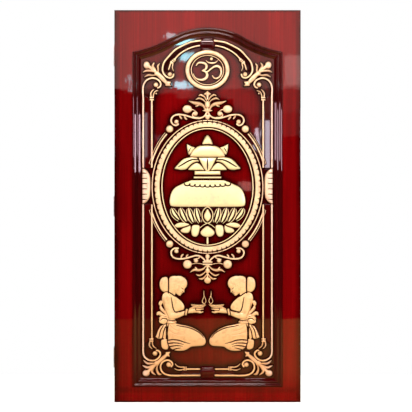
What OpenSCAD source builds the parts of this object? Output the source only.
// Carved temple door: a single framed leaf with an arched panel, applied carvings and three butt hinges.
// X runs across the leaf, the carved face looks along -Y, Z is up, and the origin is the middle of the bottom edge.

/* [Leaf] */
// Width of the leaf across both stiles
leaf_w = 965; // [965:5:1000]
// Height of the leaf
leaf_h = 2032; // [2032:2:2060]
// Thickness of the frame
leaf_t = 38; // [36:1:45]
// Width of each stile on the carved face
stile_w = 95.5; // [90:0.5:95.5]
// Height of the bottom rail on the carved face
bottom_rail_h = 81; // [76:1:81]
// Wood between the crown of the arch and the top of the leaf
crown_margin = 93; // [80:1:93]

/* [Panel] */
// Thickness of the panel
panel_t = 18; // [16:1:20]
// Depth of the panel's face behind the face of the frame
panel_recess = 10; // [9:1:10]
// How far the frame is rebated for the panel
rebate_w = 12; // [10:1:14]
// Width of the moulding around the panel
moulding_w = 42; // [38:1:42]

/* [Arch] */
// Radius of the crown
crown_r = 378; // [378:1:380]
// Half angle of the crown's arc, in degrees
crown_angle = 31; // [30.5:0.1:31]
// Radius of the hollow shoulders
shoulder_r = 551; // [549:1:553]

/* [Joinery] */
// Thickness of the tenons
tenon_t = 12; // [10:1:13]
// Length of the tenons
tenon_l = 60; // [50:1:65]
// Radius of the draw pegs
peg_r = 4; // [3:0.5:5]

/* [Carving] */
// Depth of the main carved pieces
relief = 16; // [14:1:18]
// Depth of a channel's floor between two raised edges
web_t = 5; // [4:1:7]
// Width of a raised edge line
line_w = 10; // [8:1:10]

/* [Hinges] */
// Height of a hinge plate
hinge_h = 102; // [102:1:110]
// Width of a hinge plate from its edge to the back face of the leaf
hinge_plate_w = 30; // [30:1:32]
// Thickness of a hinge plate
hinge_plate_t = 2.5; // [2.5:0.1:3]
// Gap between the two plates when the door is shut
hinge_gap = 2; // [1.5:0.1:2.5]
// Radius of the knuckles
knuckle_r = 6.5; // [6.5:0.1:7]
// Radius of the hinge pin
pin_r = 4; // [3.5:0.1:4]
// Radial clearance of the pin in the door plate's knuckles
pin_play = 0.05; // [0.03:0.01:0.08]

/* [Hidden] */

half_w = leaf_w / 2;
front_y = -leaf_t / 2;
back_y = leaf_t / 2;
open_x = half_w - stile_w;               // half width of the framed opening
open_z = bottom_rail_h;                  // bottom of the framed opening
crown_z = leaf_h - crown_margin;         // top of the arch
ground_y = front_y + panel_recess;       // face of the panel that the carvings are glued to
panel_back_y = ground_y + panel_t;
panel_play = 1;                          // room for the panel to move in its rebate
bead_w = 20;                             // width of the beads that hold the panel from behind
crown_c = [0, crown_z - crown_r];
shoulder_c = crown_c + (crown_r + shoulder_r) * [sin(crown_angle), cos(crown_angle)];
// Where the rebate's arch crosses the edge of the stile
rebate_top_z = shoulder_c[1] - sqrt(pow(shoulder_r - rebate_w, 2) - pow(shoulder_c[0] - open_x, 2));
arch_steps = 16;
shoulder_steps = 6;
eps = 1;                                 // overshoot of a cutter past a face

wood_red = [0.45, 0.03, 0.02];
wood_dark = [0.22, 0.02, 0.01];
gold = [0.93, 0.80, 0.50];
steel = [0.72, 0.70, 0.66];

// Pegs, screws and hinges
peg_x = open_x + tenon_l / 2;
bottom_tenon = [15, 60];                 // bottom and top of the bottom rail's tenons
top_tenon = [leaf_h - 182, leaf_h - 32];
peg_z = [bottom_tenon[0] + 12, bottom_tenon[1] - 12, top_tenon[0] + 30, top_tenon[1] - 30];
peg_tip_y = front_y + 7;
hinge_z = [230, leaf_h / 2, leaf_h - 230];
knuckles = 5;
knuckle_h = hinge_h / knuckles;
knuckle_gap = 0.3;
axis_x = -half_w - hinge_gap / 2;
axis_y = back_y + knuckle_r + 0.5;
plate_front_y = back_y - hinge_plate_w;
clear_r = knuckle_r + 0.4;               // keeps a plate's edge off the other plate's knuckles
screw_pitch = [15, 70];                  // hole spacing on a plate, across and up
hole_r = 2.75;
screw_y = plate_front_y + 6;
screw_l = 28;
screw_r = 2.5;
screw_head_r = 5;
screw_head_t = 1.2;
pin_cap_h = 3;
pin_cap_share = 0.5;                     // a pin cap's small end as a share of the knuckle
turned_fn = 32;                          // sides of pegs, screws and knobs
hinge_fn = 48;                           // sides of knuckles and pins

// Moulding: each band's outer and inner inset as a share of its width, and its depth
moulding_bands = [[0, 0.26, 14], [0.26, 0.5, 8], [0.5, 0.78, 12], [0.78, 1, 6]];

// Carvings
keystone_x = [-34, 34];
keystone_step = 8;                       // how far its raised face is set in
keystone_lift = 4;                       // and how far it stands out
om_c = [0, 1721];
edge_x = 333;                            // outer line of the side scrolls
rib_x = 288;                             // their inner line
shell_z = [1028, 1212];
oval_c = [0, 1116];
oval_strap_r = [306, 378];               // the straps that lie against the oval
strap_drop = 4;                          // how much lower than the main relief they are
boss_places = [[196, 1416], [196, 820]];
boss_r = 19;
knob_wall = 0.6;                         // straight part of a knob as a share of its depth
knob_top = 0.45;                         // a knob's top as a share of its radius

// ---- curves -------------------------------------------------------------------------------------

function cubic(a, b, c, d, t) =
  0.5 * (2 * b + (c - a) * t + (2 * a - 5 * b + 4 * c - d) * t * t + (3 * b - a - 3 * c + d) * t * t * t);

// A smooth line through the points p, with n steps between neighbours
function smooth(p, n = 3) = let (m = len(p) - 1) concat(
  [for (i = [0:m - 1], k = [0:n - 1])
    cubic(p[max(i - 1, 0)], p[i], p[i + 1], p[min(i + 2, m)], k / n)], [p[m]]);

function side_of(q, i) = let (d = q[min(i + 1, len(q) - 1)] - q[max(i - 1, 0)]) [-d[1], d[0]] / norm(d);

// The outline of a line of changing width; w lists [place from 0 to 1, width]
function stroke(p, w, n = 3) = let (q = smooth(p, n), m = len(q) - 1) concat(
  [for (i = [0:m]) q[i] + side_of(q, i) * lookup(i / m, w) / 2],
  [for (i = [m:-1:0]) q[i] - side_of(q, i) * lookup(i / m, w) / 2]);

function even(w) = [[0, w], [1, w]];
function leaf_shape(w) = [[0, w * 0.4], [0.45, w], [1, w * 0.15]];
function taper(w) = [[0, w], [1, w * 0.35]];
function flipped(p) = [for (i = [len(p) - 1:-1:0]) p[i]];
function ellipse(c, r, n = 48, from = 0, to = 360) =
  [for (i = [0:n - (to - from == 360 ? 1 : 0)]) let (a = from + (to - from) * i / n) c + [r[0] * cos(a), r[1] * sin(a)]];

// ---- the arch and the bands that follow the framed opening ----------------------------------------

function shoulder_end(o) = asin((shoulder_c[0] - open_x + o) / (shoulder_r + o));
function corner(o) = let (a = shoulder_end(o)) shoulder_c - (shoulder_r + o) * [sin(a), cos(a)];

// The arch moved into the opening by o, from its right corner over the crown to its left corner
function right_shoulder(o) = [for (i = [0:shoulder_steps - 1])
  let (a = shoulder_end(o) + (crown_angle - shoulder_end(o)) * i / shoulder_steps)
  shoulder_c - (shoulder_r + o) * [sin(a), cos(a)]];
function crown(o) = [for (i = [0:arch_steps])
  let (a = crown_angle - 2 * crown_angle * i / arch_steps)
  crown_c + (crown_r - o) * [sin(a), cos(a)]];
function mirrored(p) = [for (q = flipped(p)) [-q[0], q[1]]];
function arch(o) = concat(right_shoulder(o), crown(o), mirrored(right_shoulder(o)));

function opening(o) = concat([[-open_x + o, open_z + o], [open_x - o, open_z + o]], arch(o));

// Mitred strips of the band between the insets a and b
function side_strip(a, b) =
  [[open_x - a, open_z + a], [open_x - a, corner(a)[1]], [open_x - b, corner(b)[1]], [open_x - b, open_z + b]];
function bottom_strip(a, b) =
  [[-open_x + a, open_z + a], [open_x - a, open_z + a], [open_x - b, open_z + b], [-open_x + b, open_z + b]];
function arch_strip(a, b) = concat(arch(a), flipped(arch(b)));

// ---- placing ----------------------------------------------------------------------------------------

// Extrudes a front-view outline forward from the plane y
module forward(y, depth) {
  translate([0, y, 0]) rotate([90, 0, 0]) linear_extrude(depth) children();
}

module carved(depth) { forward(ground_y, depth) children(); }

// Draws the right-hand shape, or its mirror image for the left
module hand(side) {
  if (side > 0) children();
  else mirror([1, 0, 0]) children();
}

module knob(c, r, depth) {
  translate([c[0], ground_y, c[1]]) rotate([90, 0, 0]) {
    cylinder(h = depth * knob_wall, r = r, $fn = turned_fn);
    translate([0, 0, depth * knob_wall])
      cylinder(h = depth * (1 - knob_wall), r1 = r, r2 = r * knob_top, $fn = turned_fn);
  }
}

module line(p, w, depth, n = 3) { carved(depth) polygon(stroke(p, w, n)); }

module block(x, z, depth) {
  translate([x[0], ground_y - depth, z[0]]) cube([x[1] - x[0], depth, z[1] - z[0]]);
}

// ---- frame ------------------------------------------------------------------------------------------

module mortise(z) {
  translate([open_x - eps, -tenon_t / 2, z[0]]) cube([tenon_l + eps, tenon_t, z[1] - z[0]]);
}

module tenon(z) {
  translate([open_x, -tenon_t / 2, z[0]]) cube([tenon_l, tenon_t, z[1] - z[0]]);
}

module peg_row(side) {
  for (z = peg_z)
    translate([side * peg_x, back_y, z]) rotate([90, 0, 0]) cylinder(h = back_y - peg_tip_y, r = peg_r, $fn = turned_fn);
}

module stile(side) {
  color(wood_red) difference() {
    hand(side) difference() {
      translate([open_x, front_y, 0]) cube([stile_w, leaf_t, leaf_h]);
      translate([open_x - eps, ground_y, open_z - rebate_w])
        cube([rebate_w + eps, back_y - ground_y + eps, rebate_top_z - open_z + rebate_w]);
      mortise(bottom_tenon);
      mortise(top_tenon);
    }
    peg_row(side);
    if (side < 0) for (z = hinge_z) {
      translate([-half_w - eps, plate_front_y, z - hinge_h / 2])
        cube([hinge_plate_t + eps, hinge_plate_w + eps, hinge_h]);
      screw_shanks(z);
    }
  }
}

module top_rail() {
  top = [[open_x, leaf_h], [-open_x, leaf_h]];
  color(wood_red) difference() {
    union() {
      forward(ground_y, ground_y - front_y) polygon(concat(flipped(arch(0)), top));
      forward(back_y, back_y - ground_y) intersection() {
        polygon(concat(flipped(arch(-rebate_w)), [[open_x + rebate_w, leaf_h], [-open_x - rebate_w, leaf_h]]));
        translate([-open_x, 0]) square([2 * open_x, leaf_h]);
      }
      tenon(top_tenon);
      mirror([1, 0, 0]) tenon(top_tenon);
    }
    peg_row(1);
    peg_row(-1);
  }
}

module bottom_rail() {
  color(wood_red) difference() {
    union() {
      translate([-open_x, front_y, 0]) cube([2 * open_x, leaf_t, open_z]);
      tenon(bottom_tenon);
      mirror([1, 0, 0]) tenon(bottom_tenon);
    }
    translate([-open_x - eps, ground_y, open_z - rebate_w])
      cube([2 * open_x + 2 * eps, back_y - ground_y + eps, rebate_w + eps]);
    peg_row(1);
    peg_row(-1);
  }
}

module tenon_pegs() {
  color(wood_red) {
    peg_row(1);
    peg_row(-1);
  }
}

module panel() {
  color(wood_red) forward(panel_back_y, panel_t) polygon(opening(panel_play - rebate_w));
}

module moulding(strip) {
  color(wood_dark) union() for (b = moulding_bands)
    carved(b[2]) polygon(
      strip == "side" ? side_strip(b[0] * moulding_w, b[1] * moulding_w)
      : strip == "bottom" ? bottom_strip(b[0] * moulding_w, b[1] * moulding_w)
      : arch_strip(b[0] * moulding_w, b[1] * moulding_w));
}

module back_bead(outline) { color(wood_red) forward(back_y, back_y - panel_back_y) polygon(outline); }

// ---- hinges -----------------------------------------------------------------------------------------

function knuckle_low(z, i) = z - hinge_h / 2 + i * knuckle_h + (i == 0 ? 0 : knuckle_gap / 2);
function knuckle_top(z, i) = z - hinge_h / 2 + (i + 1) * knuckle_h - (i == knuckles - 1 ? 0 : knuckle_gap / 2);

module screw_hole_places(z) {
  for (dy = [0, 1], dz = [-0.5, 0.5])
    translate([0, screw_y + dy * screw_pitch[0], z + dz * screw_pitch[1]]) children();
}

// A plate whose left face is at x, with every second knuckle from the knuckle first; bore_r is the pin's hole and
// hole the screws' holes
module hinge_plate(z, x, first, bore_r, hole) {
  color(steel) difference() {
    union() {
      translate([x, plate_front_y, z - hinge_h / 2])
        cube([hinge_plate_t, axis_y - clear_r - plate_front_y, hinge_h]);
      for (i = [first:2:knuckles - 1]) {
        translate([x, plate_front_y, knuckle_low(z, i)])
          cube([hinge_plate_t, axis_y - plate_front_y, knuckle_top(z, i) - knuckle_low(z, i)]);
        translate([axis_x, axis_y, knuckle_low(z, i)])
          cylinder(h = knuckle_top(z, i) - knuckle_low(z, i), r = knuckle_r, $fn = hinge_fn);
      }
    }
    translate([axis_x, axis_y, z - hinge_h / 2 - eps]) cylinder(h = hinge_h + 2 * eps, r = bore_r, $fn = hinge_fn);
    screw_hole_places(z) translate([x - eps, 0, 0]) rotate([0, 90, 0])
      cylinder(h = hinge_plate_t + 2 * eps, r = hole, $fn = turned_fn);
  }
}

module hinge_door_plate(z) { hinge_plate(z, -half_w, 1, pin_r + pin_play, screw_r); }
module hinge_frame_plate(z) { hinge_plate(z, -half_w - hinge_gap - hinge_plate_t, 0, pin_r, hole_r); }

module hinge_pin(z) {
  cap_r = knuckle_r * pin_cap_share;
  color(steel) translate([axis_x, axis_y, z - hinge_h / 2]) {
    cylinder(h = hinge_h, r = pin_r, $fn = hinge_fn);
    translate([0, 0, hinge_h]) cylinder(h = pin_cap_h, r1 = knuckle_r, r2 = cap_r, $fn = hinge_fn);
    translate([0, 0, -pin_cap_h]) cylinder(h = pin_cap_h, r1 = cap_r, r2 = knuckle_r, $fn = hinge_fn);
  }
}

module screw_shanks(z) {
  screw_hole_places(z) translate([-half_w - eps, 0, 0]) rotate([0, 90, 0])
    cylinder(h = screw_l + eps, r = screw_r, $fn = turned_fn);
}

module hinge_screws() {
  color(steel) for (z = hinge_z)
    screw_hole_places(z) translate([-half_w, 0, 0]) rotate([0, 90, 0]) {
      cylinder(h = screw_l, r = screw_r, $fn = turned_fn);
      translate([0, 0, -screw_head_t]) cylinder(h = screw_head_t, r1 = screw_head_r * 0.7, r2 = screw_head_r, $fn = turned_fn);
    }
}

// ---- carvings: the ribbon under the arch and the sacred sign ------------------------------------------

arch_ribbon_outer = [[37, 1874], [87, 1865], [125, 1849], [168, 1825], [200, 1792], [225, 1760], [234, 1724],
  [227, 1703], [214, 1687], [195, 1679], [181, 1684], [175, 1697], [181, 1709], [193, 1712]];
arch_ribbon_inner = [[37, 1849], [73, 1841], [114, 1825], [146, 1803], [173, 1776], [180, 1766]];

module arch_ribbon(side) {
  color(gold) hand(side) {
    line(arch_ribbon_outer, even(line_w), relief);
    line(arch_ribbon_inner, even(line_w), relief);
    carved(web_t) polygon(concat([for (i = [0:5]) arch_ribbon_outer[i]], flipped(arch_ribbon_inner)));
    line([[180, 1768], [194, 1750], [198, 1730]], taper(11), relief);
    line([[180, 1768], [180, 1748], [182, 1732], [176, 1718]], taper(9), relief);
    knob([196, 1700], 12, relief);
  }
}

module keystone(z) {
  color(wood_dark) {
    block(keystone_x, z, relief);
    block(keystone_x + keystone_step * [1, -1], z + keystone_step * [1, -1], relief + keystone_lift);
  }
}

module ring(c, outer, inner, depth) {
  carved(depth) difference() {
    polygon(ellipse(c, outer));
    polygon(ellipse(c, inner));
  }
}

module om_ring() {
  color(gold) {
    ring(om_c, [116, 103], [92, 83], relief);
    ring(om_c, [94, 85], [82, 75], web_t);
  }
}

module om_sign() {
  color(gold) {
    line([[-57, 1750], [-38, 1760], [-12, 1752], [-4, 1734], [-26, 1719]], leaf_shape(13), relief);
    line([[-26, 1719], [-4, 1708], [-2, 1688], [-24, 1671], [-54, 1677], [-73, 1701]], leaf_shape(16), relief);
    line([[-14, 1715], [6, 1716], [28, 1733], [56, 1741], [71, 1721], [64, 1690], [42, 1677], [24, 1689]],
      leaf_shape(14), relief);
    line([[-6, 1772], [10, 1758], [32, 1755], [56, 1768]], leaf_shape(10), relief);
    carved(relief) polygon([[18, 1789], [27, 1779], [18, 1769], [9, 1779]]);
  }
}

// ---- carvings: scrolls down the sides -----------------------------------------------------------------

module upright(x, z) { block([x - line_w / 2, x + line_w / 2], z, relief); }

// The strap against the oval, between two angles
module oval_strap(from, to) {
  carved(relief - strap_drop) polygon(stroke(ellipse(oval_c, oval_strap_r, 12, from, to), even(line_w), 2));
}

module side_scroll_upper(side) {
  low = shell_z[1] + 1;
  color(gold) hand(side) {
    upright(edge_x, [low, 1552]);
    upright(rib_x, [low, 1564]);
    line([[edge_x, 1550], [edge_x, 1590], [334, 1625], [329, 1649], [315, 1668], [294, 1678],
      [272, 1677], [251, 1666], [241, 1649], [246, 1634], [259, 1630]], even(line_w), relief);
    carved(web_t) polygon([[rib_x, low], [edge_x, low], [edge_x, 1564], [rib_x, 1564]]);
    block([277, 301], [1562, 1583], relief);
    line([[293, 1580], [299, 1598], [281, 1617]], taper(11), relief);
    line([[284, 1580], [274, 1606], [260, 1617]], taper(9), relief);
    knob([267, 1643], 13, relief);
    oval_strap(18, 46);
  }
}

module side_scroll_lower(side) {
  top = shell_z[0] - 1;
  color(gold) hand(side) {
    upright(edge_x, [292, top]);
    upright(rib_x, [330, top]);
    line([[edge_x, 294], [edge_x, 268], [331, 247], [323, 233], [308, 222], [291, 217], [272, 219],
      [257, 228], [245, 242], [243, 257], [250, 269], [264, 272], [278, 264]], even(line_w), relief);
    carved(web_t) polygon([[rib_x, 332], [edge_x, 332], [edge_x, top], [rib_x, top]]);
    block([281, 303], [313, 333], relief);
    line([[297, 315], [298, 295], [285, 278]], taper(11), relief);
    line([[286, 315], [281, 295], [264, 281]], taper(9), relief);
    knob([272, 254], 13, relief);
    oval_strap(-46, -18);
  }
}

module side_shell(side) {
  low = shell_z[0];
  high = shell_z[1];
  color(gold) hand(side) difference() {
    carved(relief + 4) polygon([[337, low + 4], [337, high - 4], [322, high - 2], [306, high - 12], [296, high - 34],
      [294, 1120], [296, low + 34], [306, low + 12], [322, low + 2]]);
    for (z = [1051, 1077, 1103, 1135, 1161, 1187])
      translate([290, ground_y - relief - 5, z - 1.5]) cube([36, 6, 3]);
  }
}

// ---- carvings: the ribbon over the bottom rail ----------------------------------------------------------

module bottom_ribbon(side) {
  color(gold) hand(side) {
    line([[36, 140], [110, 140], [168, 139], [206, 143], [225, 150], [238, 165], [243, 183], [238, 202], [225, 214],
      [206, 219], [189, 212], [181, 198], [188, 186]], even(line_w), relief);
    line([[36, 173], [70, 173], [109, 173]], even(line_w), relief);
    carved(web_t) polygon([[36, 140], [110, 140], [110, 173], [36, 173]]);
    block([107, 125], [166, 188], relief);
    line([[122, 180], [152, 184], [168, 199]], taper(10), relief);
    line([[122, 173], [151, 168], [169, 174]], taper(8), relief);
    knob([201, 195], 13, relief);
  }
}

// ---- carvings: corner leaves ----------------------------------------------------------------------------

module corner_leaf_bottom(side) {
  color(gold) hand(side) {
    line([[193, 250], [206, 250], [222, 240], [240, 220], [256, 206]], [[0, 8], [0.2, 22], [0.5, 10], [1, 14]], relief);
    line([[252, 208], [285, 200], [312, 201], [331, 214]], leaf_shape(12), relief);
    line([[256, 204], [285, 190], [310, 181], [336, 191]], leaf_shape(14), relief);
    line([[258, 210], [262, 180], [255, 152], [238, 144]], leaf_shape(14), relief);
    line([[260, 206], [276, 184], [286, 162], [270, 142]], leaf_shape(14), relief);
    line([[258, 206], [292, 172], [318, 151]], even(14), relief);
    knob([318, 151], 18, relief);
  }
}

module corner_leaf_top(side) {
  color(gold) hand(side) {
    line([[198, 1646], [218, 1662], [240, 1684], [262, 1704]], leaf_shape(26), relief);
    line([[256, 1702], [272, 1728], [284, 1746], [275, 1760]], leaf_shape(14), relief);
    line([[252, 1700], [254, 1724], [256, 1740], [248, 1754]], leaf_shape(12), relief);
    line([[258, 1706], [290, 1712], [316, 1716], [334, 1709]], leaf_shape(13), relief);
    line([[258, 1700], [284, 1690], [308, 1692], [327, 1684]], leaf_shape(12), relief);
    line([[260, 1704], [292, 1728], [315, 1746]], even(14), relief);
    knob([315, 1746], 17, relief);
  }
}

// ---- carvings: the oval and what is above and below it ---------------------------------------------------

module oval_frame() {
  color(gold) {
    ring(oval_c, [291, 348], [234, 300], web_t);
    ring(oval_c, [291, 348], [285, 342], web_t + 4);
    ring(oval_c, [276, 336], [246, 310], relief);
    ring(oval_c, [239, 305], [234, 300], web_t + 4);
  }
}

module bosses() {
  color(gold) for (side = [-1, 1], c = boss_places) hand(side) knob(c, boss_r, relief);
}

module crest() {
  color(gold) {
    carved(relief) polygon([[-5, 1560], [-6, 1580], [-20, 1596], [0, 1612], [20, 1596], [6, 1580], [5, 1560]]);
    carved(relief) polygon(ellipse([0, 1543], [14, 19], 24));
    carved(relief) polygon([[-28, 1508], [0, 1500], [28, 1508], [12, 1520], [12, 1532], [-12, 1532], [-12, 1520]]);
    knob([0, 1475], 10, relief);
    carved(web_t) polygon([[-12, 1472], [12, 1472], [12, 1506], [-12, 1506]]);
    for (side = [-1, 1]) hand(side) {
      line([[4, 1555], [20, 1585], [44, 1590]], leaf_shape(11), relief);
      line([[8, 1548], [30, 1572], [60, 1572]], leaf_shape(11), relief);
      line([[8, 1516], [22, 1537], [44, 1548], [72, 1552], [96, 1560]], leaf_shape(17), relief);
      line([[40, 1546], [52, 1537], [64, 1534]], taper(9), relief);
      line([[20, 1512], [70, 1516], [104, 1517]], even(12), relief);
      knob([104, 1517], 23, relief);
      line([[8, 1500], [21, 1482], [46, 1473], [70, 1475], [95, 1481], [120, 1488], [145, 1490], [169, 1486],
        [187, 1471], [189, 1454], [177, 1442], [164, 1443]], even(11), relief);
      knob([63, 1494], 13, relief);
      carved(web_t) polygon([[46, 1473], [80, 1477], [72, 1494], [54, 1494]]);
      line([[120, 1486], [112, 1472], [106, 1464]], taper(10), relief);
      line([[145, 1490], [138, 1476], [132, 1468]], taper(9), relief);
      knob([158, 1450], 12, relief);
    }
  }
}

module pendant() {
  color(gold) {
    block([-26, 26], [711, 732], relief);
    carved(relief) polygon(ellipse([0, 752], [12, 14], 24));
    carved(web_t) polygon([[-20, 732], [20, 732], [20, 745], [-20, 745]]);
    carved(relief) polygon([[-14, 712], [-10, 694], [-14, 680], [0, 668], [14, 680], [10, 694], [14, 712]]);
    line([[0, 672], [0, 650], [0, 631]], even(10), relief);
    knob([0, 631], 17, relief);
    for (side = [-1, 1]) hand(side) {
      line([[150, 795], [172, 796], [188, 783], [184, 760], [158, 745], [127, 744], [91, 752], [60, 758], [37, 754],
        [16, 736]], even(11), relief);
      knob([160, 784], 12, relief);
      knob([60, 735], 12, relief);
      carved(web_t) polygon([[50, 757], [76, 756], [68, 738], [54, 738]]);
      line([[20, 716], [70, 715], [104, 715]], even(12), relief);
      knob([104, 715], 23, relief);
      line([[11, 703], [37, 686], [64, 686], [88, 675]], leaf_shape(15), relief);
      line([[6, 680], [24, 664], [42, 657], [60, 662]], leaf_shape(11), relief);
      line([[2, 664], [14, 650], [29, 640], [46, 642]], leaf_shape(11), relief);
    }
  }
}

// ---- carvings: the water pot on its lotus ------------------------------------------------------------------

module coconut() {
  color(gold) carved(relief + 6) polygon(smooth([[-90, 1274], [-84, 1298], [-58, 1320], [-30, 1332], [-24, 1346],
    [-10, 1362], [0, 1381], [10, 1362], [24, 1346], [30, 1332], [58, 1320], [84, 1298], [90, 1274]], 2));
}

module mango_leaves() {
  color(gold) {
    carved(relief) polygon([[-92, 1272], [-46, 1264], [0, 1206], [46, 1264], [92, 1272]]);
    for (side = [-1, 1]) hand(side) {
      line([[52, 1256], [90, 1252], [132, 1236], [168, 1212]], leaf_shape(34), relief - 2);
      line([[98, 1279], [104, 1296], [106, 1316], [107, 1336]], leaf_shape(18), relief);
    }
  }
}

module pot_neck() {
  low = 1151;
  color(gold) {
    carved(relief + 2) polygon([[-71, low], [71, low], [71, 1170], [67, 1178], [67, 1198], [-67, 1198], [-67, 1178],
      [-71, 1170]]);
    carved(relief - 2) polygon([[-67, 1196], [67, 1196], [96, 1206], [88, 1226], [54, 1236], [0, 1204], [-54, 1236],
      [-88, 1226], [-96, 1206]]);
  }
}

module pot_body() {
  color(gold) {
    half = smooth([[85, 1150], [124, 1134], [168, 1113], [184, 1092], [194, 1050], [190, 1028], [176, 1014]], 2);
    carved(relief + 6) polygon(concat(half, mirrored(half)));
  }
}

module lotus_petals() {
  low = 926;
  high = 1008;
  color(gold) {
    carved(web_t + 2) polygon([[-190, high], [-142, 944], [-109, 935], [-72, low], [72, low], [109, 935], [142, 944],
      [190, high]]);
    carved(relief) polygon(smooth([[-26, high - 4], [-22, low + 26], [0, low + 4], [22, low + 26], [26, high - 4]]));
    for (side = [-1, 1], p = [[[42, low + 8], [52, high - 4]], [[72, low + 10], [94, high - 4]],
        [[106, low + 18], [136, high - 4]], [[136, low + 30], [176, high - 4]]])
      hand(side) line([p[0], (p[0] + p[1]) / 2, p[1]], [[0, 12], [0.5, 26], [1, 22]], relief);
  }
}

module lotus_base() {
  color(gold) {
    carved(web_t + 2) polygon([[-130, 878], [-108, 872], [-48, 857], [48, 857], [108, 872], [130, 878], [144, 900],
      [136, 924], [-136, 924], [-144, 900]]);
    carved(relief) polygon(smooth([[-36, 880], [-26, 900], [0, 910], [26, 900], [36, 880], [18, 860], [-18, 860]]));
    for (side = [-1, 1]) hand(side) {
      carved(relief) polygon([[50, 860], [82, 864], [76, 916], [42, 914]]);
      carved(relief) polygon([[88, 872], [126, 880], [120, 916], [84, 916]]);
      line([[140, 902], [152, 914], [168, 916]], taper(14), relief);
    }
  }
}

module lotus_stem() {
  color(gold) carved(relief - 4) polygon([[-8, 820], [8, 820], [9, 856], [-9, 856]]);
}

// ---- carvings: the two kneeling lamp bearers -----------------------------------------------------------------

module worshipper(side) {
  color(gold) hand(side) {
    carved(relief + 4) polygon(ellipse([150, 604], [42, 50], 32));
    carved(relief) polygon(ellipse([206, 616], [26, 34], 28));
    carved(relief + 2) polygon(smooth([[204, 592], [230, 566], [234, 536], [214, 484], [206, 440], [202, 404],
      [158, 404], [166, 440], [150, 470], [124, 484], [122, 500], [142, 526], [164, 548], [170, 566]], 2));
    line([[206, 540], [196, 480], [190, 442]], even(34), relief + 4);
    line([[192, 444], [150, 456], [105, 467], [60, 468], [26, 471]], [[0, 32], [0.6, 20], [1, 12]], relief + 4);
    carved(relief) polygon(smooth([[206, 408], [160, 404], [112, 394], [72, 379], [36, 356], [12, 330], [12, 306],
      [28, 292], [84, 286], [120, 268], [168, 268], [192, 281], [206, 308], [214, 350]], 2));
    line([[218, 520], [244, 506], [254, 482], [250, 456], [232, 432], [212, 424]], even(12), relief - 4);
    carved(relief - 4) polygon([[190, 402], [240, 396], [252, 366], [268, 336], [244, 328], [190, 326]]);
    carved(relief - 2) polygon([[196, 274], [224, 270], [238, 282], [240, 322], [200, 322]]);
  }
}

module lamp(side) {
  color(gold) hand(side) {
    carved(relief) polygon([[9, 506], [84, 506], [78, 494], [60, 484], [34, 484], [16, 494]]);
    carved(relief - 2) polygon(smooth([[40, 503], [10, 520], [8, 536], [14, 552], [17, 578], [24, 552], [34, 536],
      [46, 520], [56, 503]], 2));
  }
}

// ---- the assembly ----------------------------------------------------------------------------------------------

stile(-1);  // stile_left
stile(1);  // stile_right
top_rail();
bottom_rail();
tenon_pegs();
panel();
hand(-1) moulding("side");  // moulding_left
moulding("side");  // moulding_right
moulding("bottom");  // moulding_bottom
moulding("arch");  // moulding_arch
hand(-1) back_bead(side_strip(-rebate_w, bead_w - rebate_w));  // back_bead_left
back_bead(side_strip(-rebate_w, bead_w - rebate_w));  // back_bead_right
back_bead(bottom_strip(-rebate_w, bead_w - rebate_w));  // back_bead_bottom
back_bead(arch_strip(-rebate_w, bead_w - rebate_w));  // back_bead_arch
arch_ribbon(-1);  // arch_ribbon_left
arch_ribbon(1);  // arch_ribbon_right
keystone([1824, 1888]);  // keystone_top
om_ring();
om_sign();
side_scroll_upper(-1);  // side_scroll_upper_left
side_scroll_upper(1);  // side_scroll_upper_right
side_scroll_lower(-1);  // side_scroll_lower_left
side_scroll_lower(1);  // side_scroll_lower_right
side_shell(-1);  // side_shell_left
side_shell(1);  // side_shell_right
bottom_ribbon(-1);  // bottom_ribbon_left
bottom_ribbon(1);  // bottom_ribbon_right
keystone([125, 183]);  // keystone_bottom
corner_leaf_top(-1);  // corner_leaf_top_left
corner_leaf_top(1);  // corner_leaf_top_right
corner_leaf_bottom(-1);  // corner_leaf_bottom_left
corner_leaf_bottom(1);  // corner_leaf_bottom_right
oval_frame();
bosses();
crest();
pendant();
coconut();
mango_leaves();
pot_neck();
pot_body();
lotus_petals();
lotus_base();
lotus_stem();
worshipper(-1);  // worshipper_left
worshipper(1);  // worshipper_right
lamp(-1);  // lamp_left
lamp(1);  // lamp_right
hinge_door_plate(hinge_z[0]);  // hinge_door_plate_lower
hinge_door_plate(hinge_z[1]);  // hinge_door_plate_middle
hinge_door_plate(hinge_z[2]);  // hinge_door_plate_upper
hinge_frame_plate(hinge_z[0]);  // hinge_frame_plate_lower
hinge_frame_plate(hinge_z[1]);  // hinge_frame_plate_middle
hinge_frame_plate(hinge_z[2]);  // hinge_frame_plate_upper
hinge_pin(hinge_z[0]);  // hinge_pin_lower
hinge_pin(hinge_z[1]);  // hinge_pin_middle
hinge_pin(hinge_z[2]);  // hinge_pin_upper
hinge_screws();
